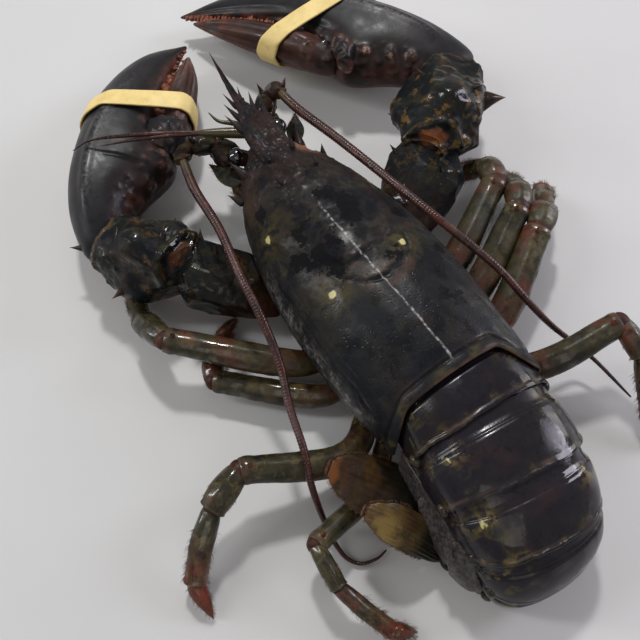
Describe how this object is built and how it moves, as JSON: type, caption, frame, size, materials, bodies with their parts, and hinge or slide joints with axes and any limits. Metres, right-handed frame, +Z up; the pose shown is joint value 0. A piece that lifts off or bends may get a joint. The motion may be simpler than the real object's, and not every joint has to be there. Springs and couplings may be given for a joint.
{
  "type": "raw whole lobster with banded claws",
  "caption": "Raw whole lobster lying on its legs, tail curled under, with a rubber band round each claw; seafood for a kitchen, counter or market display.",
  "frame": {"origin": "on the resting plane, under the middle of the whole object's box", "axes": "+Y towards the head along the body, +X the animal's right side, +Z up"},
  "size_m": [0.2194, 0.2972, 0.0537],
  "materials": {
    "shell": "wet, near-black shell mottled dark olive and purple-brown, with cream flecks",
    "belly": "dull brown underside plates and joint skin",
    "claw_finger": "wet red-brown claw fingers and teeth",
    "leg": "wet olive-brown leg shell with rust-orange joints and reddish tips",
    "feeler": "dark maroon ringed feelers with pale dots",
    "tail_fan": "translucent amber-olive plates with an orange fringe",
    "eye": "black and polished",
    "membrane": "rust-orange soft skin in the joints",
    "bristle": "short brown hairs",
    "band": "matte pale yellow rubber"
  },
  "bodies": {
    "root": {"carapace": "shell", "sternum": "belly", "abdomen_1": "shell", "abdomen_2": "shell", "abdomen_3": "shell", "abdomen_4": "shell", "abdomen_5": "shell", "abdomen_6": "shell", "telson": "tail_fan", "uropod_left_inner": "tail_fan", "uropod_left_outer": "tail_fan", "uropod_right_inner": "tail_fan", "uropod_right_outer": "tail_fan", "palm_left": "shell", "finger_left": "claw_finger", "band_left": "band", "wrist_left": "shell", "arm_left": "shell", "palm_right": "shell", "finger_right": "claw_finger", "band_right": "band", "wrist_right": "shell", "arm_right": "shell", "leg_left_2_thigh": "leg", "leg_left_2_shin": "leg", "leg_left_2_foot": "leg", "leg_left_3_thigh": "leg", "leg_left_3_shin": "leg", "leg_left_3_foot": "leg", "leg_left_4_thigh": "leg", "leg_left_4_shin": "leg", "leg_left_4_foot": "leg", "leg_left_5_thigh": "leg", "leg_left_5_shin": "leg", "leg_left_5_foot": "leg", "leg_right_2_thigh": "leg", "leg_right_2_shin": "leg", "leg_right_2_foot": "leg", "leg_right_3_thigh": "leg", "leg_right_3_shin": "leg", "leg_right_3_foot": "leg", "leg_right_4_thigh": "leg", "leg_right_4_shin": "leg", "leg_right_4_foot": "leg", "leg_right_5_thigh": "leg", "leg_right_5_shin": "leg", "leg_right_5_foot": "leg", "eye_left": "eye", "feeler_root_left": "shell", "feeler_left": "feeler", "antennule_left": "feeler", "scale_left": "shell", "mouth_leg_left": "leg", "eye_right": "eye", "feeler_root_right": "shell", "feeler_right": "feeler", "antennule_right": "feeler", "scale_right": "shell", "mouth_leg_right": "leg"}
  },
  "joints": []
}
